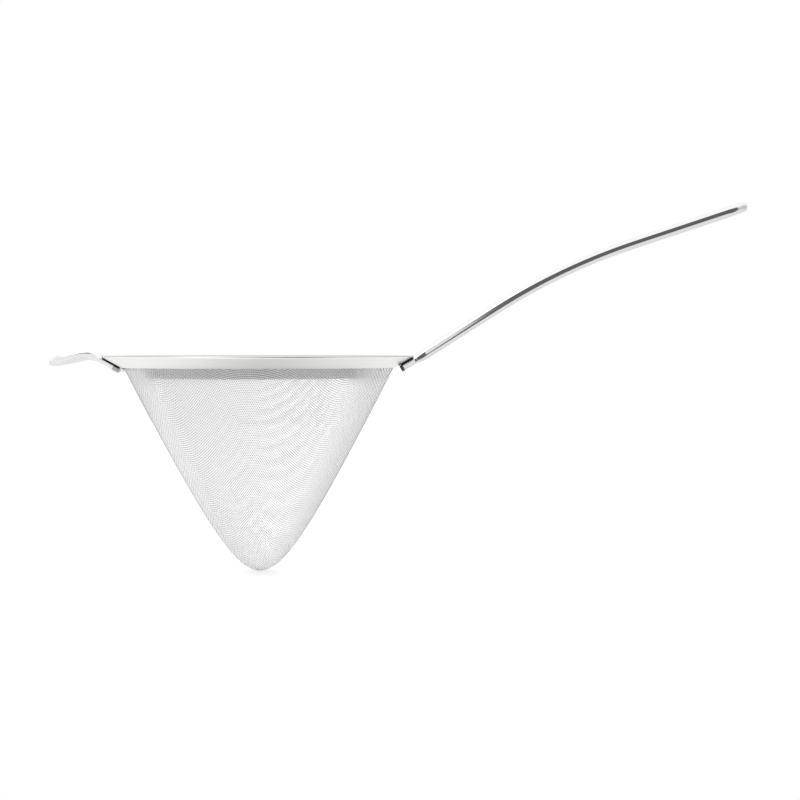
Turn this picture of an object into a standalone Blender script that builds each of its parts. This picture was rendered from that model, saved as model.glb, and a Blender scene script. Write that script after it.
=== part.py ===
"""Conical tea strainer of polished steel, in metres with +Z up.

A dished sheet rim and an inner clamp ring hold the border of a cone pressed from woven wire cloth.
A long wire loop is welded under the rim as the handle, and a short one opposite it as the rest hook.
The origin is on the cone's axis, level with the rim's top edge, and +X runs along the handle.
"""
import math

import bmesh
import bpy
from mathutils import Vector

MM = 0.001

# Gap left between pieces that touch on the real strainer.
CLEARANCE = 0.3 * MM

# Rim: a sheet ring dished so that it slopes up and outward.
RIM_RADIUS = 40.0 * MM
RIM_SLOPE = math.radians(30.0)
RIM_WIDTH = 5.5 * MM
RIM_SHEET = 0.5 * MM
RIM_EDGE_ROUND = 0.14 * MM

# Wire cloth: a hyperbola turned about the axis, round at the tip and nearly straight at the rim.
CONE_DEPTH = 55.6 * MM
CONE_FLARE = 0.483
TIP_RADIUS = 5.27 * MM
CLOTH_THICKNESS = 0.4 * MM
CLOTH_BORDER = 2.2 * MM

# Clamp ring: its upper leg lies over the cloth's border and its skirt hangs inside the cone.
CLAMP_SHEET = 0.5 * MM
CLAMP_LEG = 2.5 * MM
CLAMP_DEPTH = 6.0 * MM
CLAMP_EDGE_ROUND = 0.12 * MM

# Wire loops: the same wire for handle and hook, with its two ends pressed flat for welding.
WIRE_RADIUS = 1.35 * MM
LOOP_HALF_WIDTH = 4.5 * MM
PRESS_RUN_OUT = 3.0 * MM
PRESS_CLEAR = 1.5 * MM
PRESS_SPREAD = 1.6

# Handle: a pressed tab along the rim's lower face, then the centre line outward and up.
HANDLE_TAB_THICKNESS = 1.5 * MM
HANDLE_TAB_SEAT = 0.6 * MM
HANDLE_START = 36.4 * MM
HANDLE_PRESS_LENGTH = 4.5 * MM
HANDLE_ROOT_SLOPE = math.radians(32.5)
HANDLE_ROOT_RUN = 24.0 * MM
HANDLE_BEND_RADIUS = 160.0 * MM
HANDLE_TIP_SLOPE = math.radians(18.4)
HANDLE_LENGTH = 97.7 * MM

# Rest hook: a pressed tab, over a crest beside the rim, then slightly down to its outer end.
HOOK_TAB_THICKNESS = 1.25 * MM
HOOK_TAB_SEAT = 0.35 * MM
HOOK_START = 35.3 * MM
HOOK_PRESS_LENGTH = 5.8 * MM
HOOK_ROOT_SLOPE = math.radians(30.0)
HOOK_ROOT_RUN = 0.5 * MM
HOOK_BEND_RADIUS = 6.1 * MM
HOOK_TIP_SLOPE = math.radians(-12.0)
HOOK_LENGTH = 18.85 * MM

# Fineness of the turned and swept shapes.
RIM_STEPS = 128
CLAMP_STEPS = 96
CLOTH_STEPS = 56
CLOTH_RINGS = 15
SKIRT_RINGS = 3
WIRE_BEVEL_RESOLUTION = 6
TAB_STATIONS = 4
RUN_OUT_STATIONS = 5
LOOP_STATION = 3.5 * MM
BOW_STATIONS = 14
MERGE_DISTANCE = 0.00001

COLLECTION = "tea_strainer"


def clear_scene():
    for item in list(bpy.data.objects):
        bpy.data.objects.remove(item, do_unlink=True)
    collection = bpy.data.collections.new(COLLECTION)
    bpy.context.scene.collection.children.link(collection)
    return collection


def steel(name, colour, roughness):
    material = bpy.data.materials.new(name)
    material.use_nodes = True
    shader = material.node_tree.nodes["Principled BSDF"]
    shader.inputs["Base Color"].default_value = (*colour, 1.0)
    shader.inputs["Metallic"].default_value = 1.0
    shader.inputs["Roughness"].default_value = roughness
    return material


# Section of the rim, in (radius, height).

def rim_underside(radius):
    """Height of the rim's lower face at a radius."""
    edge_height = -RIM_SHEET * math.cos(RIM_SLOPE)
    return edge_height - (RIM_RADIUS - radius) * math.tan(RIM_SLOPE)


def rim_point(along, above):
    """Point at a length up the slope from the rim's inner edge, and a distance above its lower face."""
    inner_radius = RIM_RADIUS - RIM_WIDTH * math.cos(RIM_SLOPE)
    inner_height = rim_underside(inner_radius)
    radius = inner_radius + along * math.cos(RIM_SLOPE) - above * math.sin(RIM_SLOPE)
    height = inner_height + along * math.sin(RIM_SLOPE) + above * math.cos(RIM_SLOPE)
    return radius, height


# Section of the cone, in (radius, height).

def cone_radius(rise):
    """Radius of the cloth's outer face at a height above the tip."""
    return math.sqrt((CONE_FLARE * rise) ** 2 + 2.0 * TIP_RADIUS * rise)


def cone_point(rise, inward):
    """Point on the cone's outer face, or parallel to it at a distance inward."""
    radius = cone_radius(rise)
    growth = (CONE_FLARE ** 2 * rise + TIP_RADIUS) / radius
    length = math.hypot(1.0, growth)
    return radius - inward / length, rise - CONE_DEPTH + inward * growth / length


def flare_rise(inward):
    """Height above the tip where the cone, offset inward, meets the layer that lies on the rim."""
    low, high = 0.8 * CONE_DEPTH, CONE_DEPTH
    for _ in range(40):
        middle = 0.5 * (low + high)
        radius, height = cone_point(middle, inward)
        across = (height - rim_underside(radius)) * math.cos(RIM_SLOPE)
        if across > RIM_SHEET + CLEARANCE + inward:
            high = middle
        else:
            low = middle
    return low


def turned_sheet(name, profile, steps, thickness, material, collection, edge_round=0.0):
    """Turn an outline about the axis and thicken it inward; it runs from the rim down to the bottom."""
    mesh = bpy.data.meshes.new(name)
    corners = [(radius, 0.0, height) for radius, height in profile]
    edges = [(index, index + 1) for index in range(len(corners) - 1)]
    mesh.from_pydata(corners, edges, [])
    sheet = bpy.data.objects.new(name, mesh)
    collection.objects.link(sheet)
    turn = sheet.modifiers.new("turn", "SCREW")
    turn.steps = steps
    turn.render_steps = steps
    turn.use_merge_vertices = True
    turn.merge_threshold = MERGE_DISTANCE
    turn.use_smooth_shade = True
    thick = sheet.modifiers.new("thickness", "SOLIDIFY")
    thick.thickness = thickness
    thick.offset = -1.0
    thick.use_even_offset = True
    if edge_round > 0.0:
        soften = sheet.modifiers.new("edges", "BEVEL")
        soften.width = edge_round
        soften.segments = 2
        soften.limit_method = "ANGLE"
        soften.angle_limit = math.radians(50.0)
    mesh.materials.append(material)
    return sheet


def make_rim(collection):
    profile = [rim_point(RIM_WIDTH, 0.0), rim_point(0.0, 0.0)]
    material = steel("rim_steel", (0.80, 0.80, 0.79), 0.16)
    return turned_sheet("rim_band", profile, RIM_STEPS, RIM_SHEET, material, collection, RIM_EDGE_ROUND)


def make_cloth(collection):
    bend = flare_rise(0.0)
    profile = [rim_point(CLOTH_BORDER, RIM_SHEET + CLEARANCE)]
    # Rings crowd towards the tip, where the outline turns fastest.
    for ring in range(CLOTH_RINGS):
        share = 1.0 - ring / CLOTH_RINGS
        profile.append(cone_point(bend * share ** 1.7, 0.0))
    profile.append((0.0, -CONE_DEPTH))
    material = steel("cloth_steel", (0.72, 0.72, 0.71), 0.30)
    return turned_sheet("mesh_cone", profile, CLOTH_STEPS, CLOTH_THICKNESS, material, collection)


def make_clamp(collection):
    inward = CLOTH_THICKNESS + CLEARANCE
    bend = flare_rise(inward)
    bottom = CONE_DEPTH - CLAMP_DEPTH
    profile = [rim_point(CLAMP_LEG, RIM_SHEET + CLEARANCE + inward)]
    for ring in range(SKIRT_RINGS + 1):
        rise = bend + (bottom - bend) * ring / SKIRT_RINGS
        profile.append(cone_point(rise, inward))
    material = steel("clamp_steel", (0.76, 0.76, 0.75), 0.22)
    return turned_sheet("clamp_ring", profile, CLAMP_STEPS, CLAMP_SHEET, material, collection,
                        CLAMP_EDGE_ROUND)


# Wire loops.

def bent_line(length, start, press_length, root_slope, root_run, bend_radius, tip_slope):
    """Side view of a loop's centre line: tab at the rim's slope, straight root, bend, straight tip."""
    outward, height = start
    tab = min(length, press_length)
    outward += tab * math.cos(RIM_SLOPE)
    height += tab * math.sin(RIM_SLOPE)
    length = max(length - press_length, 0.0)
    root = min(length, root_run)
    outward += root * math.cos(root_slope)
    height += root * math.sin(root_slope)
    bend_length = bend_radius * (root_slope - tip_slope)
    turned = min(max(length - root_run, 0.0), bend_length) / bend_radius
    slope = root_slope - turned
    outward += bend_radius * (math.sin(root_slope) - math.sin(slope))
    height += bend_radius * (math.cos(slope) - math.cos(root_slope))
    rest = max(length - root_run - bend_length, 0.0)
    return outward + rest * math.cos(tip_slope), height + rest * math.sin(tip_slope)


def loop_stations(length, press_length):
    """(length along, side) of the centre line's points: out on one side, round the bow and back."""
    bow_start = length - LOOP_HALF_WIDTH
    fine_end = press_length + PRESS_RUN_OUT
    fine_step = PRESS_RUN_OUT / RUN_OUT_STATIONS
    coarse_count = max(round((bow_start - fine_end) / LOOP_STATION), 1)
    coarse_step = (bow_start - fine_end) / coarse_count
    leg = [press_length * index / TAB_STATIONS for index in range(TAB_STATIONS)]
    leg += [press_length + fine_step * index for index in range(RUN_OUT_STATIONS + 1)]
    leg += [fine_end + coarse_step * (index + 1) for index in range(coarse_count)]
    there = [(station, -LOOP_HALF_WIDTH) for station in leg]
    bow = []
    for index in range(1, BOW_STATIONS):
        angle = math.pi * index / BOW_STATIONS
        bow.append((bow_start + LOOP_HALF_WIDTH * math.sin(angle), -LOOP_HALF_WIDTH * math.cos(angle)))
    back = [(station, LOOP_HALF_WIDTH) for station in reversed(leg)]
    return there + bow + back


def sweep_wire(points):
    """Mesh of a round wire with closed ends along a line of points."""
    curve = bpy.data.curves.new("wire_line", "CURVE")
    curve.dimensions = "3D"
    curve.bevel_depth = WIRE_RADIUS
    curve.bevel_resolution = WIRE_BEVEL_RESOLUTION
    curve.use_fill_caps = True
    spline = curve.splines.new("POLY")
    spline.points.add(len(points) - 1)
    for target, point in zip(spline.points, points):
        target.co = (*point, 1.0)
    guide = bpy.data.objects.new("wire_line", curve)
    bpy.context.scene.collection.objects.link(guide)
    depsgraph = bpy.context.evaluated_depsgraph_get()
    mesh = bpy.data.meshes.new_from_object(guide.evaluated_get(depsgraph))
    bpy.data.objects.remove(guide, do_unlink=True)
    shape = bmesh.new()
    shape.from_mesh(mesh)
    bmesh.ops.remove_doubles(shape, verts=shape.verts, dist=MERGE_DISTANCE)
    shape.to_mesh(mesh)
    shape.free()
    return mesh


def press_tab(mesh, end, along, face_normal, press_length, thickness, seat):
    """Press one end of a wire flat between two jaws, the upper one a seat above its centre line."""
    across = along.cross(face_normal)
    for vertex in mesh.vertices:
        offset = vertex.co - end
        distance = offset.dot(along)
        if abs(offset.dot(across)) > LOOP_HALF_WIDTH or distance > press_length + PRESS_RUN_OUT:
            continue
        relief = max(distance - press_length, 0.0) / PRESS_RUN_OUT
        pressed = (1.0 - relief) ** 2
        upper = PRESS_CLEAR + (seat - PRESS_CLEAR) * (1.0 - relief) ** 3
        lower = WIRE_RADIUS + (thickness - seat - WIRE_RADIUS) * pressed
        spread = 1.0 + (PRESS_SPREAD - 1.0) * pressed
        lift = max(-lower, min(upper, offset.dot(face_normal)))
        vertex.co = end + along * distance + face_normal * lift + across * offset.dot(across) * spread


def make_loop(name, side, start_radius, thickness, seat, length, line, colour, collection):
    """Wire loop welded under the rim, on the +X side (side 1) or the -X side (side -1)."""
    ring_radius = math.hypot(start_radius, LOOP_HALF_WIDTH)
    drop = (CLEARANCE + seat) / math.cos(RIM_SLOPE)
    start = (start_radius, rim_underside(ring_radius) - drop)
    press_length = line[0]
    points = []
    for station, across in loop_stations(length, press_length):
        outward, height = bent_line(station, start, *line)
        points.append((side * outward, across, height))
    mesh = sweep_wire(points)
    along = Vector((side * math.cos(RIM_SLOPE), 0.0, math.sin(RIM_SLOPE)))
    for end in (Vector(points[0]), Vector(points[-1])):
        radial = Vector((end.x, end.y, 0.0)).normalized()
        face_normal = Vector((0.0, 0.0, math.cos(RIM_SLOPE))) - radial * math.sin(RIM_SLOPE)
        face_normal = (face_normal - along * face_normal.dot(along)).normalized()
        press_tab(mesh, end, along, face_normal, press_length, thickness, seat)
    mesh.shade_smooth()
    mesh.set_sharp_from_angle(angle=math.radians(40.0))
    mesh.name = name
    mesh.materials.append(steel(name + "_steel", colour, 0.12))
    loop = bpy.data.objects.new(name, mesh)
    collection.objects.link(loop)
    return loop


def make_handle(collection):
    line = (HANDLE_PRESS_LENGTH, HANDLE_ROOT_SLOPE, HANDLE_ROOT_RUN, HANDLE_BEND_RADIUS, HANDLE_TIP_SLOPE)
    return make_loop("handle_loop", 1.0, HANDLE_START, HANDLE_TAB_THICKNESS, HANDLE_TAB_SEAT,
                     HANDLE_LENGTH, line, (0.80, 0.80, 0.80), collection)


def make_hook(collection):
    line = (HOOK_PRESS_LENGTH, HOOK_ROOT_SLOPE, HOOK_ROOT_RUN, HOOK_BEND_RADIUS, HOOK_TIP_SLOPE)
    return make_loop("rest_hook", -1.0, HOOK_START, HOOK_TAB_THICKNESS, HOOK_TAB_SEAT,
                     HOOK_LENGTH, line, (0.82, 0.82, 0.81), collection)


def main():
    collection = clear_scene()
    make_rim(collection)
    make_cloth(collection)
    make_clamp(collection)
    make_handle(collection)
    make_hook(collection)


main()
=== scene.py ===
"""Looks of the conical tea strainer: turned sheet rings, woven wire cloth and pressed wire loops."""
import math

import bpy
import numpy as np
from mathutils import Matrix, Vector


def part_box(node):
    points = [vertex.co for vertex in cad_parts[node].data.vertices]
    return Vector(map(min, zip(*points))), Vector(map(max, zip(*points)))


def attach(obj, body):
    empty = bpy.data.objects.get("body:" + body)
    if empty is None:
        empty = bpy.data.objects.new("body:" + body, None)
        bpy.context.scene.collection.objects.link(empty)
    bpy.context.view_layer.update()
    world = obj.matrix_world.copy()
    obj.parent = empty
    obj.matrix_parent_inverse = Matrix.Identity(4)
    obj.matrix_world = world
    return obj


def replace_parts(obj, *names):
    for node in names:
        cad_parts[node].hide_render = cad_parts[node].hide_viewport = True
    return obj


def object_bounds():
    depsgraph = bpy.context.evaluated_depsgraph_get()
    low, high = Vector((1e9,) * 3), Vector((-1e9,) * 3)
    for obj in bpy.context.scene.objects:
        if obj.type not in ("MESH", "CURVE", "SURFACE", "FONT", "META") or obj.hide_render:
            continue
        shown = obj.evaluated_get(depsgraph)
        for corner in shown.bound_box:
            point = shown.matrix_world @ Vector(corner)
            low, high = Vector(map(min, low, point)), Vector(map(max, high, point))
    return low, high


MM = 0.001
BODY = "root"

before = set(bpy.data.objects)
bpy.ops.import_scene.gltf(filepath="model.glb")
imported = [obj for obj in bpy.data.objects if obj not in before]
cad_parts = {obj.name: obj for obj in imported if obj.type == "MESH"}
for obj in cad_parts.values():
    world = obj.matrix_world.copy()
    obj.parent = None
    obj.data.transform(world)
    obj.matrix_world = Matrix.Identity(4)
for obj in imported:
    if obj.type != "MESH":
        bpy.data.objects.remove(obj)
cad_low, cad_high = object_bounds()

# ---------------------------------------------------------------- sizes, in metres, as in the CAD

_, rim_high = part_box("rim_band")
cone_low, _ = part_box("mesh_cone")

# Rim: a sheet ring that slopes up and outward. The clearance stands for contact between two pieces.
RIM_RADIUS = rim_high.x
RIM_SLOPE = math.radians(30.0)
RIM_WIDTH = 5.5 * MM
RIM_SHEET = 0.5 * MM
CLEARANCE = 0.3 * MM

# Cone: a hyperbola turned about the axis. Its flare is the radius it gains with height, far from the tip.
CONE_DEPTH = -cone_low.z
CONE_FLARE = 0.483
TIP_RADIUS = 5.27 * MM
CLOTH_THICKNESS = 0.4 * MM
CLOTH_BORDER = 2.2 * MM

# Clamp ring: its leg lies over the cloth's border, and its skirt goes down inside the cone.
CLAMP_SHEET = 0.5 * MM
CLAMP_LEG = 2.5 * MM
CLAMP_DEPTH = 6.0 * MM
CLAMP_BEND_REACH = 0.6 * MM

# Share of the cone's depth above which the clamp ring's bend is searched for.
BEND_SEARCH_START = 0.8

# Wire loops: round wire whose two ends are pressed flat and get wider by the spread. Over the run-out
# the upper side rises towards the clear height until the wire is round.
WIRE_RADIUS = 1.35 * MM
LOOP_HALF_WIDTH = 4.5 * MM
PRESS_RUN_OUT = 3.0 * MM
PRESS_CLEAR = 1.5 * MM
PRESS_SPREAD = 1.6
CUT_EDGE_RADIUS = 0.12 * MM

# Each loop, from the pressed end at its start radius: the tab's thickness and how far its upper face is
# over the centre line, the length of painted shade at the cut end and the number of legs that have it,
# then the flat stretch, the straight root, the bend down to the tip's slope, and the whole length.
HANDLE = {
    "side": 1.0,
    "start": 36.4 * MM,
    "tab": 1.5 * MM,
    "seat": 0.6 * MM,
    "shade_length": 0.85 * MM,
    "shaded_legs": 2,
    "press_length": 4.5 * MM,
    "root_slope": math.radians(32.5),
    "root_run": 24.0 * MM,
    "bend_radius": 160.0 * MM,
    "tip_slope": math.radians(18.4),
    "length": 97.7 * MM,
}
HOOK = {
    "side": -1.0,
    "start": 35.3 * MM,
    "tab": 1.25 * MM,
    "seat": 0.35 * MM,
    "shade_length": 1.7 * MM,
    "shaded_legs": 1,
    "press_length": 5.8 * MM,
    "root_slope": math.radians(30.0),
    "root_run": 0.5 * MM,
    "bend_radius": 6.1 * MM,
    "tip_slope": math.radians(-12.0),
    "length": 18.85 * MM,
}

# Weave: wire gauge, the spacing of the crossings along the wires, and the net's turn about the axis.
# The net is solved for a margin of more wires than its reach needs.
CLOTH_WIRE_RADIUS = 0.1 * MM
SHEARED_PITCH = 0.536 * MM
DRAWN_PITCH = 0.64 * MM
DRAWN_SHARE = 0.5
WEAVE_TURN = math.pi / 4
NET_MARGIN = 1.25
WEAVE_GROUPS = 4

# Fineness: points of the meshes' sections and lines, and steps of the two solvers.
RING_STEPS = 288
WIRE_SIDES = 5
LOOP_SIDES = 40
EDGE_RINGS = 5
RIM_POINTS = 14
RIM_EDGE_POINTS = 11
CLAMP_EDGE_POINTS = 7
LEG_POINTS = 8
BEND_POINTS = 7
SKIRT_POINTS = 12
MERIDIAN_POINTS = 400
BORDER_POINTS = 20
NET_POINTS = 4000
NET_SOLVER_STEPS = 8
HALVINGS = 40
TAB_POINTS = 12
RUN_OUT_POINTS = 25
BOW_POINTS = 41
LEG_SPACING = 0.9 * MM
WELD_POINTS = 48
WELD_CORNER_POWER = 0.4

# Tone of the cloth's wire by its height over the cloth's middle surface: a dark reflection painted on
# the outer crowns. It is fitted to the grain of the cloth in the picture and is not a known finish.
CROWN_START = 0.098 * MM
CROWN_FULL = 0.155 * MM
SPAN_COLOUR = (0.935, 0.93, 0.935)
CROWN_PAINTED_REFLECTION = (0.10, 0.10, 0.10)
CLOTH_ROUGHNESS = 0.34

# Share of the light that polished steel keeps when seen at a grazing angle.
EDGE_TINT = 0.8

# Grain of the steel's roughness: octaves, and the scale on sheet and on wire.
GRAIN_DETAIL = 4.0
SHEET_GRAIN = 900.0
WIRE_GRAIN = 600.0

# Painted shade on the sheets' upper faces, a tone apart from the rest; its share follows the upward part of
# the normal.
UPPER_FACE_START = 0.0
UPPER_FACE_FULL = 0.4
RIM_UPPER_PAINTED_SHADE = (0.40, 0.40, 0.39)
CLAMP_UPPER_PAINTED_SHADE = (0.50, 0.50, 0.49)

# Weld nuggets: how far they stop short of the rim's edge and the tab's end, and how far they sink in.
WELD_OUTER_INSET = 0.35 * MM
WELD_INNER_INSET = 0.1 * MM
WELD_HALF_WIDTH = 2.0 * MM
WELD_OVERLAP = 0.04 * MM

# Studio: radiance of the tent's parts, where 1 is white in the picture.
WALL_LIGHT = 1.3
BACK_LIGHT = 1.6
RIGHT_LIGHT = 0.95
TOP_LIGHT = 1.65
DARK_LIGHT = 0.19
BACKDROP_LIGHT = 1.0
TABLE_GLOW = 0.40
TABLE_COLOUR = (0.55, 0.55, 0.55)
TABLE_ROUGHNESS = 0.7
TABLE_NEAR = -0.09
TABLE_FAR = 0.8
TABLE_HALF_WIDTH = 0.7

# The tent's parts: a direction, and the cosines to it between which the part sets in.
TENT_TOP = ((0.0, 0.0, 1.0), math.sin(math.radians(37)), math.sin(math.radians(45)))
TENT_BACK = ((0.0, 1.0, 0.0), -0.2, 0.6)
TENT_FRONT = ((0.0, -1.0, 0.0), 0.45, 0.65)
TENT_RIGHT = ((1.0, 0.0, 0.0), 0.75, 0.9)
UPPER_OPENING = ((0.843, 0.0, 0.537), 0.038, 0.054)
LOWER_OPENING = ((0.906, 0.0, 0.423), 0.045, 0.075)
ABOVE_TABLE = ((0.0, 0.0, 1.0), math.sin(math.radians(-36)), math.sin(math.radians(-30)))

# Key lamp: where it hangs and aims, its size in metres and its power in watts.
KEY_PLACE = (-0.25, -0.15, 0.45)
KEY_TARGET = (0.0, 0.0, -0.03)
KEY_SIZE = 0.25
KEY_POWER = 0.8

# Camera: where it stands and aims, the width of its view at that distance, and its clipping in metres.
EYE_DISTANCE = 0.42
EYE_HEIGHT = 0.002
VIEW_WIDTH = 0.2064
CLIP_NEAR = 0.01
CLIP_FAR = 10.0
AIM = Vector((0.0362, 0.0, -0.0115))
SENSOR_MM = 36.0


# ---------------------------------------------------------------- mesh helpers

def new_piece(name, corners, faces, material):
    """Smooth mesh object that rides on the strainer's one body."""
    mesh = bpy.data.meshes.new(name)
    mesh.from_pydata(corners, [], faces)
    mesh.validate()
    mesh.shade_smooth()
    mesh.materials.append(material)
    piece = bpy.data.objects.new(name, mesh)
    bpy.context.scene.collection.objects.link(piece)
    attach(piece, BODY)
    return piece


def arc(centre, radius, start, end, count):
    """Points (x, y) of an arc, both ends included."""
    angles = np.linspace(start, end, count)
    return [(centre[0] + radius * math.cos(a), centre[1] + radius * math.sin(a)) for a in angles]


def strip_section(line, thickness, end_points):
    """Closed outline, in (radius, height), of a sheet with fully rounded edges along a centre line."""
    line = np.array(line)
    steps = np.gradient(line, axis=0)
    steps /= np.linalg.norm(steps, axis=1)[:, None]
    normals = np.stack([-steps[:, 1], steps[:, 0]], axis=1)
    half = 0.5 * thickness
    left = line + normals * half
    right = line - normals * half
    heading = math.atan2(steps[-1, 1], steps[-1, 0])
    far_end = arc(line[-1], half, heading + math.pi / 2, heading - math.pi / 2, end_points)[1:-1]
    heading = math.atan2(steps[0, 1], steps[0, 0])
    near_end = arc(line[0], half, heading - math.pi / 2, heading - 3 * math.pi / 2, end_points)[1:-1]
    return [tuple(p) for p in left] + far_end + [tuple(p) for p in right[::-1]] + near_end


def turned(name, section, material):
    """Turn a closed outline, given in (radius, height), once round the axis."""
    section = np.array(section)
    count = len(section)
    angles = np.linspace(0.0, 2.0 * math.pi, RING_STEPS, endpoint=False)
    corners = np.empty((RING_STEPS, count, 3))
    corners[:, :, 0] = np.cos(angles)[:, None] * section[:, 0]
    corners[:, :, 1] = np.sin(angles)[:, None] * section[:, 0]
    corners[:, :, 2] = section[:, 1]
    faces = []
    for step in range(RING_STEPS):
        here = step * count
        there = ((step + 1) % RING_STEPS) * count
        for index in range(count):
            after = (index + 1) % count
            faces.append((here + index, there + index, there + after, here + after))
    return new_piece(name, corners.reshape(-1, 3).tolist(), faces, material)


def tube(name, rings, material):
    """Closed tube through rings of corners, with flat caps."""
    count, sides = rings.shape[:2]
    base = np.arange(count - 1)[:, None] * sides
    index = np.arange(sides)
    after = (index + 1) % sides
    quads = np.stack([base + index, base + after, base + sides + after, base + sides + index], axis=-1)
    faces = quads.reshape(-1, 4).tolist()
    faces.append(tuple(range(sides - 1, -1, -1)))
    faces.append(tuple(range((count - 1) * sides, count * sides)))
    return new_piece(name, rings.reshape(-1, 3).tolist(), faces, material)


# ---------------------------------------------------------------- sections of rim and cone

def rim_underside(radius):
    """Height of the rim's lower face at a radius."""
    return -RIM_SHEET * math.cos(RIM_SLOPE) - (RIM_RADIUS - radius) * math.tan(RIM_SLOPE)


def rim_point(along, above):
    """(radius, height) of a point up the rim's slope from its inner edge and above its lower face."""
    inner_radius = RIM_RADIUS - RIM_WIDTH * math.cos(RIM_SLOPE)
    inner_height = rim_underside(inner_radius)
    return (inner_radius + along * math.cos(RIM_SLOPE) - above * math.sin(RIM_SLOPE),
            inner_height + along * math.sin(RIM_SLOPE) + above * math.cos(RIM_SLOPE))


def cone_radius(rise):
    """Outer radius of the cone at a height above its tip."""
    return np.sqrt((CONE_FLARE * rise) ** 2 + 2.0 * TIP_RADIUS * rise)


def cone_rise(radius):
    """Height above the tip at which the cone has a radius."""
    square = CONE_FLARE ** 2
    return (np.sqrt(TIP_RADIUS ** 2 + square * radius ** 2) - TIP_RADIUS) / square


def cone_point(rise, inward):
    """(radius, height) of a point square to the cone's outer face and a distance inside it."""
    radius = cone_radius(rise)
    growth = (CONE_FLARE ** 2 * rise + TIP_RADIUS) / radius
    length = math.hypot(1.0, growth)
    return radius - inward / length, rise - CONE_DEPTH + inward * growth / length


def flare_rise(inward):
    """Height above the tip at which a sheet inside the cone turns outward over the rim."""
    low = BEND_SEARCH_START * CONE_DEPTH
    high = CONE_DEPTH
    for _ in range(HALVINGS):
        middle = 0.5 * (low + high)
        radius, height = cone_point(middle, inward)
        across = (height - rim_underside(radius)) * math.cos(RIM_SLOPE)
        if across > RIM_SHEET + CLEARANCE + inward:
            high = middle
        else:
            low = middle
    return low


def make_rim(material):
    """Sheet ring that slopes up and outward over the cloth's border."""
    half = 0.5 * RIM_SHEET
    line = [rim_point(along, half) for along in np.linspace(half, RIM_WIDTH - half, RIM_POINTS)]
    section = strip_section(line, RIM_SHEET, RIM_EDGE_POINTS)
    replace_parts(turned("rim_sheet", section, material), "rim_band")


def make_clamp(material):
    """Leg over the cloth's border, a small bend, and the skirt inside the cone."""
    inward = CLOTH_THICKNESS + CLEARANCE + 0.5 * CLAMP_SHEET
    bend = flare_rise(inward)
    bottom = CONE_DEPTH - CLAMP_DEPTH + 0.5 * CLAMP_SHEET
    above = RIM_SHEET + CLEARANCE + inward
    corner = Vector(cone_point(bend, inward))
    leg_end = CLAMP_LEG - 0.5 * CLAMP_SHEET
    leg = [Vector(rim_point(along, above)) for along in np.linspace(leg_end, 0.0, LEG_POINTS)]
    skirt = [Vector(cone_point(rise, inward)) for rise in np.linspace(bend, bottom, SKIRT_POINTS)]
    start = [p for p in leg if p.x > corner.x and (p - corner).length > CLAMP_BEND_REACH]
    finish = [p for p in skirt if (p - corner).length > CLAMP_BEND_REACH]
    before = corner + (start[-1] - corner).normalized() * CLAMP_BEND_REACH
    after = corner + (finish[0] - corner).normalized() * CLAMP_BEND_REACH
    turn = []
    for share in np.linspace(0.0, 1.0, BEND_POINTS):
        turn.append(before * (1 - share) ** 2 + corner * 2 * share * (1 - share) + after * share ** 2)
    line = [tuple(p) for p in start + turn + finish]
    section = strip_section(line[::-1], CLAMP_SHEET, CLAMP_EDGE_POINTS)
    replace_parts(turned("clamp_sheet", section, material), "clamp_ring")


# ---------------------------------------------------------------- woven wire cloth

def sheared_net(count):
    """Corners (x, y) of a quarter of a net of inextensible wires draped over the cone, apex first.

    Each crossing is one pitch from the two before it; the wires through the apex follow the axes.
    """
    fine = np.linspace(0.0, count * SHEARED_PITCH, NET_POINTS)
    rises = cone_rise(fine)
    lengths = np.concatenate([[0.0], np.cumsum(np.hypot(np.diff(fine), np.diff(rises)))])
    on_axis = np.interp(np.arange(count) * SHEARED_PITCH, lengths, fine)
    net = np.zeros((count, count, 2))
    net[:, 0, 0] = on_axis
    net[0, :, 1] = on_axis
    square = CONE_FLARE ** 2
    for diagonal in range(2, count):
        i = np.arange(1, diagonal)
        j = diagonal - i
        first, second = net[i - 1, j], net[i, j - 1]
        guess = first + second - net[i - 1, j - 1]
        first_rise = cone_rise(np.linalg.norm(first, axis=1))
        second_rise = cone_rise(np.linalg.norm(second, axis=1))
        for _ in range(NET_SOLVER_STEPS):
            root = np.sqrt(TIP_RADIUS ** 2 + square * (guess ** 2).sum(axis=1))
            rise = (root - TIP_RADIUS) / square
            slope = guess / root[:, None]
            along = np.stack([guess - first, guess - second], axis=1)
            climb = np.stack([rise - first_rise, rise - second_rise], axis=1)
            miss = (along ** 2).sum(axis=2) + climb ** 2 - SHEARED_PITCH ** 2
            gradient = 2.0 * (along + climb[:, :, None] * slope[:, None, :])
            guess = guess - np.linalg.solve(gradient, miss[:, :, None])[:, :, 0]
        net[i, j] = guess
    return net, fine, lengths


def cloth_crossings(count):
    """(length down the meridian, angle) of each crossing in a quarter of the cloth.

    Pressed cloth shears and stretches, so the net is partway between a sheared and a drawn one.
    """
    net, fine, lengths = sheared_net(count)
    radius = np.linalg.norm(net, axis=2)
    sheared_length = np.interp(radius, fine, lengths)
    sheared_angle = np.arctan2(net[:, :, 1], net[:, :, 0])
    i, j = np.meshgrid(np.arange(count), np.arange(count), indexing="ij")
    drawn_length = DRAWN_PITCH * np.hypot(i, j)
    drawn_angle = np.arctan2(j, i)
    length = (1.0 - DRAWN_SHARE) * sheared_length + DRAWN_SHARE * drawn_length
    angle = (1.0 - DRAWN_SHARE) * sheared_angle + DRAWN_SHARE * drawn_angle
    length[i + j >= count] = np.inf
    return length, angle


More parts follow.
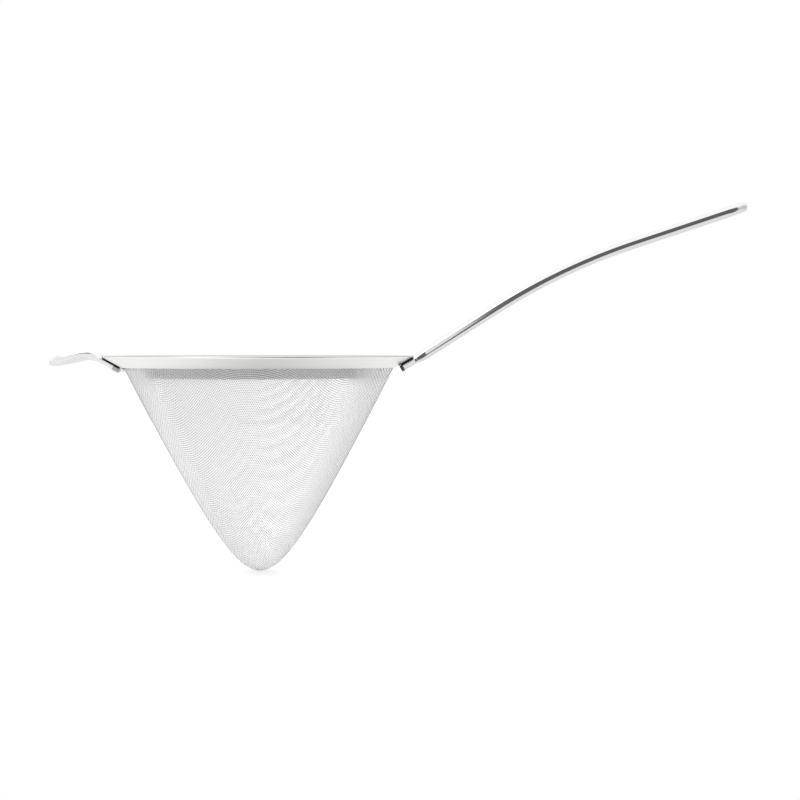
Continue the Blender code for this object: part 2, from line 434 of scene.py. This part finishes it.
def cloth_meridian():
    """Centre surface of the cloth from the tip to its border: lengths, and (radius, height) points."""
    inward = 0.5 * CLOTH_THICKNESS
    bend = flare_rise(inward)
    points = [(0.0, inward - CONE_DEPTH)]
    for share in np.linspace(0.01, 1.0, MERIDIAN_POINTS):
        points.append(cone_point(bend * share ** 2, inward))
    above = RIM_SHEET + CLEARANCE + inward
    border = np.array(rim_point(CLOTH_BORDER, above))
    corner = np.array(points[-1])
    for share in np.linspace(0.05, 1.0, BORDER_POINTS):
        points.append(tuple(corner + (border - corner) * share))
    points = np.array(points)
    lengths = np.concatenate([[0.0], np.cumsum(np.linalg.norm(np.diff(points, axis=0), axis=1))])
    return lengths, points


def round_wire(centre, normal, offset):
    """Corners and faces of one closed wire along a centre line, its corners numbered from an offset."""
    angles = np.linspace(0.0, 2.0 * math.pi, WIRE_SIDES, endpoint=False)
    direction = np.gradient(centre, axis=0)
    direction /= np.linalg.norm(direction, axis=1)[:, None]
    side = np.cross(direction, normal)
    side /= np.linalg.norm(side, axis=1)[:, None]
    up = np.cross(side, direction)
    ring = (side[:, None, :] * np.cos(angles)[None, :, None]
            + up[:, None, :] * np.sin(angles)[None, :, None])
    corners = (centre[:, None, :] + CLOTH_WIRE_RADIUS * ring).reshape(-1, 3)
    base = offset + np.arange(len(centre) - 1)[:, None] * WIRE_SIDES
    index = np.arange(WIRE_SIDES)
    after = (index + 1) % WIRE_SIDES
    quads = np.stack([base + index, base + WIRE_SIDES + index,
                      base + WIRE_SIDES + after, base + after], axis=-1)
    last = offset + (len(centre) - 1) * WIRE_SIDES
    faces = quads.reshape(-1, 4).tolist()
    faces.append(tuple(range(offset, offset + WIRE_SIDES)))
    faces.append(tuple(range(last + WIRE_SIDES - 1, last - 1, -1)))
    return corners, faces


def make_cloth(material):
    """Two families of wires that pass over and under each other, each family in a few pieces."""
    lengths, meridian = cloth_meridian()
    reach = lengths[-1]
    count = int(NET_MARGIN * reach / SHEARED_PITCH)
    crossing_length, crossing_angle = cloth_crossings(count)
    tangents = np.gradient(meridian, axis=0)
    tangents /= np.linalg.norm(tangents, axis=1)[:, None]

    def wire_points(along, across, family):
        """Centre line and surface normals of one wire, from its signed crossing numbers."""
        i, j = (along, across) if family == 0 else (across, along)
        length = crossing_length[np.abs(i), np.abs(j)]
        angle = crossing_angle[np.abs(i), np.abs(j)]
        angle = np.where(i < 0, math.pi - angle, angle) * np.where(j < 0, -1.0, 1.0) + WEAVE_TURN
        radius = np.interp(length, lengths, meridian[:, 0])
        height = np.interp(length, lengths, meridian[:, 1])
        outward = np.stack([np.cos(angle), np.sin(angle), np.zeros_like(angle)], axis=1)
        slope_r = np.interp(length, lengths, tangents[:, 0])
        slope_z = np.interp(length, lengths, tangents[:, 1])
        normal = outward * slope_z[:, None]
        normal[:, 2] = -slope_r
        normal /= np.linalg.norm(normal, axis=1)[:, None]
        centre = outward * radius[:, None]
        centre[:, 2] = height
        over = np.where((i + j) % 2 == 0, 1.0, -1.0) * (1.0 if family == 0 else -1.0)
        return centre + normal * (over * CLOTH_WIRE_RADIUS)[:, None], normal

    for family, family_name in enumerate(("warp", "weft")):
        wires = []
        for across in range(-count + 1, count):
            reached = np.nonzero(crossing_length[:, abs(across)] <= reach)[0]
            if len(reached) < 2:
                continue
            along = np.arange(-reached[-1], reached[-1] + 1)
            wires.append(wire_points(along, np.full_like(along, across), family))
        sizes = np.cumsum([len(centre) for centre, _ in wires])
        for group in range(WEAVE_GROUPS):
            chosen = [wire for wire, size in zip(wires, sizes)
                      if group * sizes[-1] < WEAVE_GROUPS * size <= (group + 1) * sizes[-1]]
            corners = []
            faces = []
            for centre, normal in chosen:
                wire_corners, wire_faces = round_wire(centre, normal, len(corners))
                corners += wire_corners.tolist()
                faces += wire_faces
            name = f"{family_name}_wires_{group + 1}"
            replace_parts(new_piece(name, corners, faces, material), "mesh_cone")


# ---------------------------------------------------------------- wire loops

def loop_point(station, shape, start_height):
    """Outward distance, height and slope of a loop's centre line, seen from the side."""
    tab = min(station, shape["press_length"])
    outward = shape["start"] + tab * math.cos(RIM_SLOPE)
    height = start_height + tab * math.sin(RIM_SLOPE)
    if station < shape["press_length"]:
        return outward, height, RIM_SLOPE
    station -= shape["press_length"]
    root_slope = shape["root_slope"]
    root = min(station, shape["root_run"])
    outward += root * math.cos(root_slope)
    height += root * math.sin(root_slope)
    bend_length = shape["bend_radius"] * (root_slope - shape["tip_slope"])
    turned_by = min(max(station - shape["root_run"], 0.0), bend_length) / shape["bend_radius"]
    slope = root_slope - turned_by
    outward += shape["bend_radius"] * (math.sin(root_slope) - math.sin(slope))
    height += shape["bend_radius"] * (math.cos(slope) - math.cos(root_slope))
    rest = max(station - shape["root_run"] - bend_length, 0.0)
    return outward + rest * math.cos(slope), height + rest * math.sin(slope), slope


def loop_stations(shape):
    """Places along one leg, and the stations of the whole loop: down a leg, round the bow and back.

    A station is its distance along the leg, its place across the loop, and the wire's direction as a
    part along the leg and a part across.
    """
    press_length = shape["press_length"]
    pressed_end = press_length + PRESS_RUN_OUT
    bow_start = shape["length"] - LOOP_HALF_WIDTH
    round_points = max(int((bow_start - pressed_end) / LEG_SPACING), 3)
    leg = list(np.linspace(0.0, press_length, TAB_POINTS))
    leg += list(np.linspace(press_length, pressed_end, RUN_OUT_POINTS))[1:]
    leg += list(np.linspace(pressed_end, bow_start, round_points))[1:]
    stations = [(place, -LOOP_HALF_WIDTH, 1.0, 0.0) for place in leg]
    for angle in np.linspace(0.0, math.pi, BOW_POINTS)[1:-1]:
        place = bow_start + LOOP_HALF_WIDTH * math.sin(angle)
        across = -LOOP_HALF_WIDTH * math.cos(angle)
        stations.append((place, across, math.cos(angle), math.sin(angle)))
    stations += [(place, LOOP_HALF_WIDTH, -1.0, 0.0) for place in reversed(leg)]
    return leg, stations


def loop_ring(station, shape, start_height):
    """Corners round the wire at a station: pressed flat on the tab, round past its run-out."""
    place, across, forward, sideways = station
    side = shape["side"]
    outward, height, slope = loop_point(place, shape, start_height)
    centre = np.array([side * outward, across, height])
    along_sheet = np.array([side * math.cos(slope), 0.0, math.sin(slope)])
    direction = forward * along_sheet + sideways * np.array([0.0, 1.0, 0.0])
    up = np.array([-side * math.sin(slope), 0.0, math.cos(slope)])
    relief = min(max(place - shape["press_length"], 0.0) / PRESS_RUN_OUT, 1.0)
    pressed = (1.0 - relief) ** 2
    if pressed > 0.0:
        # The flat faces lie on the rim's cone, so they lean towards its axis there.
        azimuth = math.atan2(across, outward)
        lean = np.array([-side * math.sin(RIM_SLOPE) * math.cos(azimuth),
                         -math.sin(RIM_SLOPE) * math.sin(azimuth),
                         math.cos(RIM_SLOPE)])
        lean -= along_sheet * lean.dot(along_sheet)
        up = up * (1.0 - pressed) + lean / np.linalg.norm(lean) * pressed
        up /= np.linalg.norm(up)
    beside = np.cross(direction, up)
    upper = min(PRESS_CLEAR + (shape["seat"] - PRESS_CLEAR) * (1.0 - relief) ** 3, WIRE_RADIUS)
    lower = WIRE_RADIUS + (shape["tab"] - shape["seat"] - WIRE_RADIUS) * pressed
    wide = WIRE_RADIUS * (1.0 + (PRESS_SPREAD - 1.0) * pressed)
    # The outline goes from a circle, at power 1, to a rectangle with round corners.
    power = 1.0 - 0.5 * pressed
    angles = np.linspace(0.0, 2.0 * math.pi, LOOP_SIDES, endpoint=False)
    cosines = np.cos(angles)
    sines = np.sin(angles)
    x = wide * np.sign(cosines) * np.abs(cosines) ** power
    y = np.where(sines > 0.0, upper, lower) * np.sign(sines) * np.abs(sines) ** power
    return centre + beside * x[:, None] + up * y[:, None]


def make_loop(name, shape, material, end_shade_material):
    """Wire bent into a long loop, its two ends pressed flat under the rim, their cut ends in painted shade.
    """
    ring_radius = math.hypot(shape["start"], LOOP_HALF_WIDTH)
    drop = (CLEARANCE + shape["seat"]) / math.cos(RIM_SLOPE)
    start_height = rim_underside(ring_radius) - drop
    leg, stations = loop_stations(shape)
    rings = np.array([loop_ring(station, shape, start_height) for station in stations])
    rings = np.concatenate([end_rounding(rings, 0), rings[1:-1], end_rounding(rings, -1)])
    piece = tube(name, rings, material)
    piece.data.materials.append(end_shade_material)
    # The cut ends and the rings next to them get the painted shade.
    shade_rings = EDGE_RINGS - 1 + sum(1 for place in leg[1:] if place <= shape["shade_length"])
    shade_face_count = shade_rings * LOOP_SIDES
    # The tube's last two faces are its caps, the first leg's before the second's.
    shade_faces = piece.data.polygons[:shade_face_count] + [piece.data.polygons[-2]]
    if shape["shaded_legs"] == 2:
        shade_faces += piece.data.polygons[-shade_face_count - 2:]
    for face in shade_faces:
        face.material_index = 1
    return piece


def end_rounding(rings, end):
    """Rings that round the cut edge of a wire's end, in the tube's order."""
    face = rings[end]
    centre = face.mean(axis=0)
    inner = rings[1] if end == 0 else rings[-2]
    inward = inner.mean(axis=0) - centre
    inward /= np.linalg.norm(inward)
    radial = face - centre
    spans = np.linalg.norm(radial, axis=1)[:, None]
    rounded = []
    # The angle runs from the cut face, at 90 degrees, to the wire's side.
    for angle in np.linspace(math.pi / 2, 0.0, EDGE_RINGS):
        back = CUT_EDGE_RADIUS * (1.0 - math.sin(angle))
        shrink = CUT_EDGE_RADIUS * (1.0 - math.cos(angle))
        rounded.append(centre + radial * (1.0 - shrink / spans) + inward * back)
    rounded = np.array(rounded)
    return rounded if end == 0 else rounded[::-1]


def make_welds(name, shape, material):
    """Flat weld nuggets that fill the gap between the rim and a loop's two pressed ends, in painted shade.
    """
    first = shape["start"] + WELD_INNER_INSET
    last = RIM_RADIUS - WELD_OUTER_INSET
    middle = 0.5 * (first + last)
    reach = 0.5 * (last - first)
    corners = []
    faces = []
    for across in (-LOOP_HALF_WIDTH, LOOP_HALF_WIDTH):
        base = len(corners)
        for depth in (-WELD_OVERLAP, CLEARANCE + WELD_OVERLAP):
            for angle in np.linspace(0.0, 2.0 * math.pi, WELD_POINTS, endpoint=False):
                cosine = math.cos(angle)
                sine = math.sin(angle)
                x = middle + reach * math.copysign(abs(cosine) ** WELD_CORNER_POWER, cosine)
                y = across + WELD_HALF_WIDTH * math.copysign(abs(sine) ** WELD_CORNER_POWER, sine)
                height = rim_underside(math.hypot(x, y)) - depth / math.cos(RIM_SLOPE)
                corners.append((shape["side"] * x, y, height))
        top = [base + index for index in range(WELD_POINTS)]
        bottom = [corner + WELD_POINTS for corner in top]
        for index in range(WELD_POINTS):
            after = (index + 1) % WELD_POINTS
            faces.append((top[index], bottom[index], bottom[after], top[after]))
        faces.append(tuple(top))
        faces.append(tuple(reversed(bottom)))
    if shape["side"] < 0.0:
        faces = [face[::-1] for face in faces]
    return new_piece(name, corners, faces, material)


# ---------------------------------------------------------------- materials

def steel(name, colour, roughness, grain, grain_scale):
    """Steel whose roughness varies about its mean with a fine grain."""
    material = bpy.data.materials.new(name)
    material.use_nodes = True
    nodes = material.node_tree.nodes
    links = material.node_tree.links
    shader = nodes["Principled BSDF"]
    shader.inputs["Base Color"].default_value = (*colour, 1.0)
    shader.inputs["Metallic"].default_value = 1.0
    shader.inputs["Specular Tint"].default_value = (EDGE_TINT, EDGE_TINT, EDGE_TINT, 1.0)
    place = nodes.new("ShaderNodeTexCoord")
    noise = nodes.new("ShaderNodeTexNoise")
    noise.inputs["Scale"].default_value = grain_scale
    noise.inputs["Detail"].default_value = GRAIN_DETAIL
    links.new(place.outputs["Object"], noise.inputs["Vector"])
    spread = nodes.new("ShaderNodeMapRange")
    spread.inputs["To Min"].default_value = roughness - grain
    spread.inputs["To Max"].default_value = roughness + grain
    links.new(noise.outputs["Fac"], spread.inputs["Value"])
    links.new(spread.outputs["Result"], shader.inputs["Roughness"])
    return material


def paint_upper_face_shade(material, colour):
    """Give the faces that point up another tone of painted shade than the rest of the piece."""
    nodes = material.node_tree.nodes
    links = material.node_tree.links
    shader = nodes["Principled BSDF"]
    surface = nodes.new("ShaderNodeNewGeometry")
    normal = nodes.new("ShaderNodeSeparateXYZ")
    links.new(surface.outputs["Normal"], normal.inputs["Vector"])
    tone = nodes.new("ShaderNodeValToRGB")
    steep, flat = tone.color_ramp.elements
    steep.position = UPPER_FACE_START
    steep.color = shader.inputs["Base Color"].default_value
    flat.position = UPPER_FACE_FULL
    flat.color = (*colour, 1.0)
    links.new(normal.outputs["Z"], tone.inputs["Fac"])
    links.new(tone.outputs["Color"], shader.inputs["Base Color"])


def cloth_steel():
    """Bright drawn wire, with a dark reflection painted on the outer crowns of its crossings."""
    material = bpy.data.materials.new("cloth_wire")
    material.use_nodes = True
    nodes = material.node_tree.nodes
    links = material.node_tree.links
    shader = nodes["Principled BSDF"]
    shader.inputs["Metallic"].default_value = 1.0
    shader.inputs["Roughness"].default_value = CLOTH_ROUGHNESS

    def vector_step(operation, first, *others):
        step = nodes.new("ShaderNodeVectorMath")
        step.operation = operation
        links.new(first, step.inputs[0])
        for socket, value in zip(step.inputs[1:], others):
            if isinstance(value, tuple):
                socket.default_value = value
            else:
                links.new(value, socket)
        return step

    # With the rise h over the tip, the cone's outer face is where r2 - (flare h)2 - 2 tip h is 0.
    # That excess over half its gradient's length is twice the height over the outer face, and the
    # cloth's thickness, added to it, makes it twice the height over the middle surface.
    square = CONE_FLARE ** 2
    place = nodes.new("ShaderNodeTexCoord").outputs["Object"]
    from_tip = vector_step("ADD", place, (0.0, 0.0, CONE_DEPTH)).outputs["Vector"]
    scaled = (1.0, 1.0, -square)
    outward = vector_step("MULTIPLY_ADD", from_tip, scaled, (0.0, 0.0, -TIP_RADIUS)).outputs["Vector"]
    doubled = vector_step("MULTIPLY_ADD", from_tip, scaled, (0.0, 0.0, -2.0 * TIP_RADIUS)).outputs["Vector"]
    excess = vector_step("DOT_PRODUCT", from_tip, doubled).outputs["Value"]
    steepness = vector_step("LENGTH", outward).outputs["Value"]
    height = nodes.new("ShaderNodeMath")
    height.operation = "DIVIDE"
    links.new(excess, height.inputs[0])
    links.new(steepness, height.inputs[1])
    centred = nodes.new("ShaderNodeMath")
    centred.operation = "ADD"
    centred.inputs[1].default_value = CLOTH_THICKNESS
    links.new(height.outputs["Value"], centred.inputs[0])
    share = nodes.new("ShaderNodeMapRange")
    share.inputs["From Min"].default_value = 2.0 * CROWN_START
    share.inputs["From Max"].default_value = 2.0 * CROWN_FULL
    links.new(centred.outputs["Value"], share.inputs["Value"])
    # Painted dark reflection: the crowns get the dark colour, the spans the wire's own colour.
    ramp = nodes.new("ShaderNodeValToRGB")
    ramp.color_ramp.elements[0].color = (*SPAN_COLOUR, 1.0)
    ramp.color_ramp.elements[1].color = (*CROWN_PAINTED_REFLECTION, 1.0)
    links.new(share.outputs["Result"], ramp.inputs["Fac"])
    links.new(ramp.outputs["Color"], shader.inputs["Base Color"])
    return material


# ---------------------------------------------------------------- set

def make_floor():
    """Plain white table that glows a little, so that it stays white under the strainer."""
    level = cad_low.z
    corners = [(-TABLE_HALF_WIDTH, TABLE_NEAR, level), (TABLE_HALF_WIDTH, TABLE_NEAR, level),
               (TABLE_HALF_WIDTH, TABLE_FAR, level), (-TABLE_HALF_WIDTH, TABLE_FAR, level)]
    floor_mesh = bpy.data.meshes.new("floor")
    floor_mesh.from_pydata(corners, [], [(0, 1, 2, 3)])
    floor = bpy.data.objects.new("floor", floor_mesh)
    bpy.context.scene.collection.objects.link(floor)
    material = bpy.data.materials.new("floor_white")
    material.use_nodes = True
    shader = material.node_tree.nodes["Principled BSDF"]
    shader.inputs["Base Color"].default_value = (*TABLE_COLOUR, 1.0)
    shader.inputs["Roughness"].default_value = TABLE_ROUGHNESS
    shader.inputs["Emission Color"].default_value = (1.0, 1.0, 1.0, 1.0)
    shader.inputs["Emission Strength"].default_value = TABLE_GLOW
    floor_mesh.materials.append(material)


def make_world():
    """White tent, brightest at the top and back, with a dark opening in front, above a slanted edge.

    To the camera itself the backdrop is plain white.
    """
    world = bpy.data.worlds.new("studio")
    bpy.context.scene.world = world
    world.use_nodes = True
    nodes = world.node_tree.nodes
    links = world.node_tree.links
    place = nodes.new("ShaderNodeTexCoord")

    def gradient(direction, low, high):
        """0 to 1 as the cosine to a direction goes from low to high."""
        along = nodes.new("ShaderNodeVectorMath")
        along.operation = "DOT_PRODUCT"
        along.inputs[1].default_value = direction
        links.new(place.outputs["Generated"], along.inputs[0])
        ramp = nodes.new("ShaderNodeMapRange")
        ramp.interpolation_type = "SMOOTHSTEP"
        ramp.inputs["From Min"].default_value = low
        ramp.inputs["From Max"].default_value = high
        links.new(along.outputs["Value"], ramp.inputs["Value"])
        return ramp.outputs["Result"]

    def combine(operation, first, second):
        step = nodes.new("ShaderNodeMath")
        step.operation = operation
        for socket, value in zip(step.inputs, (first, second)):
            if isinstance(value, float):
                socket.default_value = value
            else:
                links.new(value, socket)
        return step.outputs["Value"]

    def blend(share, first, second):
        """first where share is 0, second where it is 1."""
        kept = combine("MULTIPLY", combine("SUBTRACT", 1.0, share), first)
        return combine("ADD", kept, combine("MULTIPLY", share, second))

    top = gradient(*TENT_TOP)
    back = gradient(*TENT_BACK)
    front = gradient(*TENT_FRONT)
    right_wall = gradient(*TENT_RIGHT)
    lower_opening = combine("MULTIPLY", gradient(*LOWER_OPENING), gradient(*ABOVE_TABLE))
    opening = combine("MAXIMUM", gradient(*UPPER_OPENING), lower_opening)
    walls = blend(right_wall, blend(back, WALL_LIGHT, BACK_LIGHT), RIGHT_LIGHT)
    walls = blend(combine("MULTIPLY", opening, front), walls, DARK_LIGHT)
    tent = blend(top, walls, TOP_LIGHT)
    rays = nodes.new("ShaderNodeLightPath")
    strength = blend(rays.outputs["Is Camera Ray"], tent, BACKDROP_LIGHT)
    background = nodes["Background"]
    background.inputs["Color"].default_value = (1.0, 1.0, 1.0, 1.0)
    links.new(strength, background.inputs["Strength"])


def area_light(name, place, target, size, power):
    """Round soft lamp that faces a target."""
    light = bpy.data.lights.new(name, "AREA")
    light.shape = "DISK"
    light.size = size
    light.energy = power
    lamp = bpy.data.objects.new(name, light)
    lamp.location = place
    lamp.rotation_mode = "QUATERNION"
    lamp.rotation_quaternion = (Vector(target) - Vector(place)).to_track_quat("-Z", "Y")
    bpy.context.scene.collection.objects.link(lamp)


def make_camera():
    """Level with the rim, square to the handle, a forearm's length away."""
    eye = Vector((AIM.x, -EYE_DISTANCE, EYE_HEIGHT))
    data = bpy.data.cameras.new("camera")
    data.sensor_width = SENSOR_MM
    data.lens = SENSOR_MM * (AIM - eye).length / VIEW_WIDTH
    data.clip_start = CLIP_NEAR
    data.clip_end = CLIP_FAR
    camera = bpy.data.objects.new("camera", data)
    camera.location = eye
    camera.rotation_mode = "QUATERNION"
    camera.rotation_quaternion = (AIM - eye).to_track_quat("-Z", "Y")
    bpy.context.scene.collection.objects.link(camera)
    bpy.context.scene.camera = camera


def main():
    """Replace the CAD's five nodes by finer pieces, and set the studio round them."""
    polished = steel("polished_sheet", (0.74, 0.74, 0.73), 0.32, 0.04, SHEET_GRAIN)
    # The clamp ring's dark colour is painted shade, for the shade it lies in behind the cloth.
    shaded_satin = steel("satin_sheet_painted_shade", (0.19, 0.19, 0.19), 0.25, 0.05, SHEET_GRAIN)
    wire = steel("polished_wire", (0.57, 0.57, 0.57), 0.07, 0.02, WIRE_GRAIN)
    # The hook's wire is the handle's wire made lighter: painted light.
    wire_painted_light = steel("wire_painted_light", (0.62, 0.62, 0.62), 0.07, 0.02, WIRE_GRAIN)
    cloth = cloth_steel()
    # Painted shade on the cut ends of the handle's and the hook's loops.
    handle_end_shade = steel("handle_end_painted_shade", (0.06, 0.06, 0.06), 0.45, 0.10, SHEET_GRAIN)
    hook_end_shade = steel("hook_end_painted_shade", (0.34, 0.33, 0.32), 0.30, 0.08, SHEET_GRAIN)
    # The weld nuggets are near black as painted shade of the gap under the rim.
    weld_shade = steel("weld_painted_shade", (0.02, 0.02, 0.02), 0.55, 0.10, SHEET_GRAIN)
    # Painted shade that depends on which way the sheets' faces point.
    paint_upper_face_shade(polished, RIM_UPPER_PAINTED_SHADE)
    paint_upper_face_shade(shaded_satin, CLAMP_UPPER_PAINTED_SHADE)
    make_rim(polished)
    make_clamp(shaded_satin)
    make_cloth(cloth)
    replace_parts(make_loop("handle_wire", HANDLE, wire, handle_end_shade), "handle_loop")
    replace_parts(make_loop("hook_wire", HOOK, wire_painted_light, hook_end_shade), "rest_hook")
    make_welds("handle_welds", HANDLE, weld_shade)
    make_welds("hook_welds", HOOK, weld_shade)
    make_floor()
    make_world()
    area_light("key", KEY_PLACE, KEY_TARGET, KEY_SIZE, KEY_POWER)
    make_camera()
    bpy.context.scene.view_settings.view_transform = "Standard"


main()
